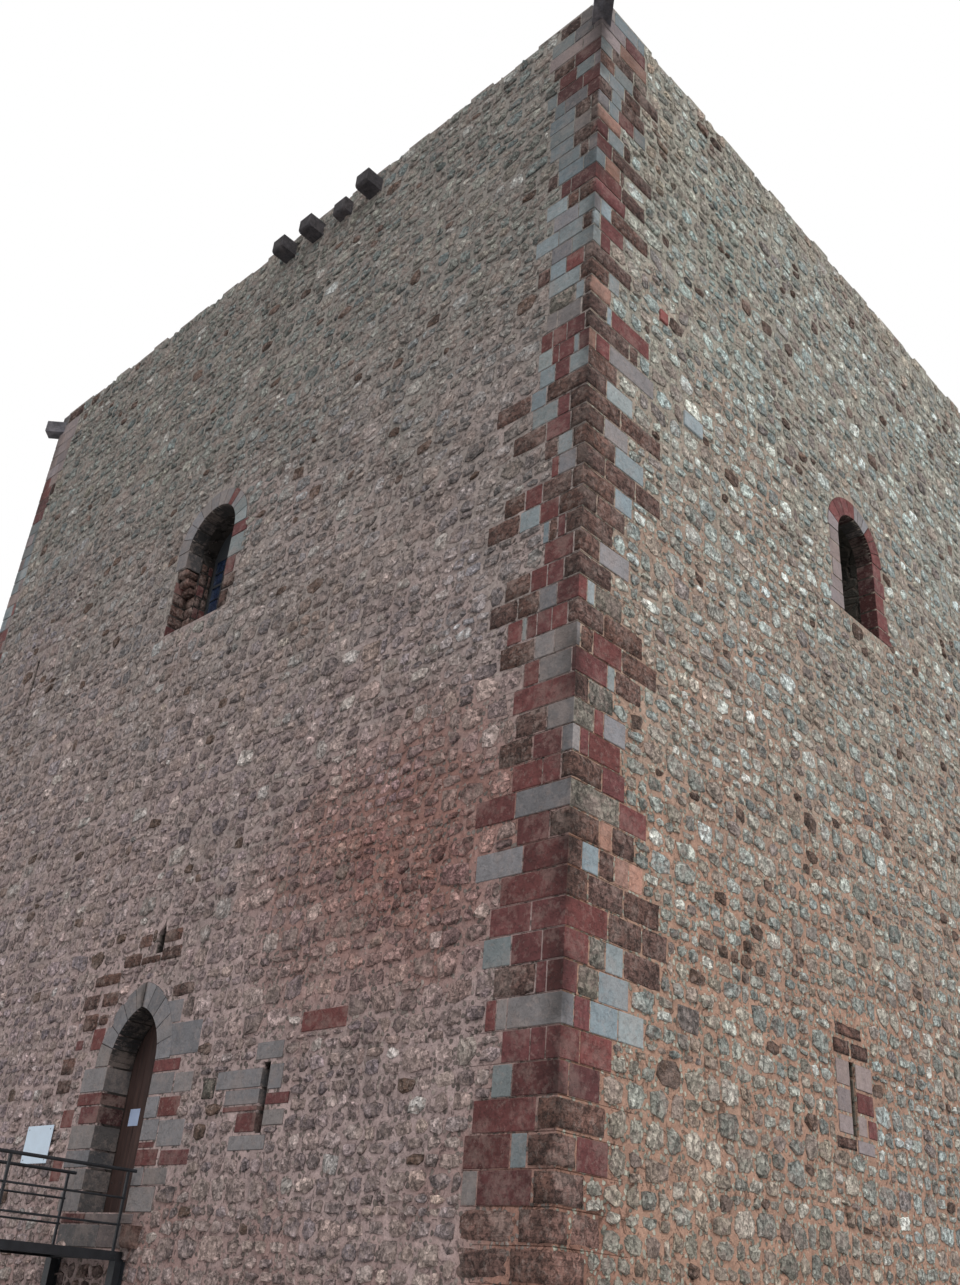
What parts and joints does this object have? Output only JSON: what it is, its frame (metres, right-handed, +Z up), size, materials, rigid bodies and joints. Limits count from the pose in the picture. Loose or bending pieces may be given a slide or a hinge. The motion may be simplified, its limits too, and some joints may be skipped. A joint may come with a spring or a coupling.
{
  "type": "castle keep",
  "caption": "Square rubble-masonry castle keep with toothed quoins, a pointed first-floor doorway, a hinged leaf and a steel gangway.",
  "frame": {"origin": "on the ground in the middle of the keep's square footprint", "axes": "+Z up; the door wall and the gangway face -Y; the wall with the single side window faces +X"},
  "size_m": [17.5626, 23.8013, 20.2],
  "materials": {
    "front_rubble": "rubble with lime mortar",
    "side_rubble": "rubble with lime mortar",
    "quoin_stone": "dressed, weathered",
    "grey_ashlar": "dressed, weathered",
    "red_ashlar": "dressed, weathered",
    "dark_corbel_stone": "weathered",
    "brown_stone": "rough",
    "floor_stone": "worn",
    "dark_wood": "dark stained boards",
    "wrought_iron": "blackened",
    "dark_glazing": "dark panes in a frame",
    "deck_timber": "weathered boards",
    "black_steel": "satin black"
  },
  "bodies": {
    "keep": {"front_wall_base": "front_rubble", "front_wall_door_left": "front_rubble", "front_wall_door_right": "front_rubble", "front_wall_over_door": "front_rubble", "front_wall_window_storey": "front_rubble", "right_wall_lower": "side_rubble", "right_wall_upper": "side_rubble", "back_wall_lower": "side_rubble", "back_wall_upper": "side_rubble", "left_wall_lower": "side_rubble", "left_wall_upper": "side_rubble", "quoins_front_right": "quoin_stone", "quoins_front_left": "quoin_stone", "quoins_back_right": "quoin_stone", "quoins_back_left": "quoin_stone", "wall_head": "side_rubble", "door_arch": "grey_ashlar", "door_jambs": "grey_ashlar", "door_sill": "grey_ashlar", "threshold_corbel": "brown_stone", "door_pintles": "wrought_iron", "front_window_arch": "grey_ashlar", "front_window_jamb": "grey_ashlar", "front_window_glazing": "dark_glazing", "right_window_arch": "red_ashlar", "right_window_jambs": "red_ashlar", "back_window_surround": "grey_ashlar", "left_window_surround": "grey_ashlar", "front_slit_surround": "grey_ashlar", "right_slit_surround": "grey_ashlar", "machicolation_corbels": "dark_corbel_stone", "corner_spouts": "grey_ashlar", "basement_floor": "floor_stone", "entrance_floor": "floor_stone", "upper_floor": "floor_stone", "roof_terrace": "floor_stone", "gangway_beams": "black_steel", "gangway_cross_members": "black_steel", "gangway_deck": "deck_timber", "gangway_legs": "black_steel", "gangway_railing_right": "black_steel", "gangway_railing_left": "black_steel"},
    "door": {"door_leaf": "dark_wood", "door_straps": "wrought_iron"}
  },
  "joints": [
    {"name": "door_hinge", "type": "hinge", "parent": "keep", "child": "door", "pos_m": [1.449, -7.854, 2.495], "axis": [0, 0, 1], "range_deg": [-90, 0]}
  ]
}
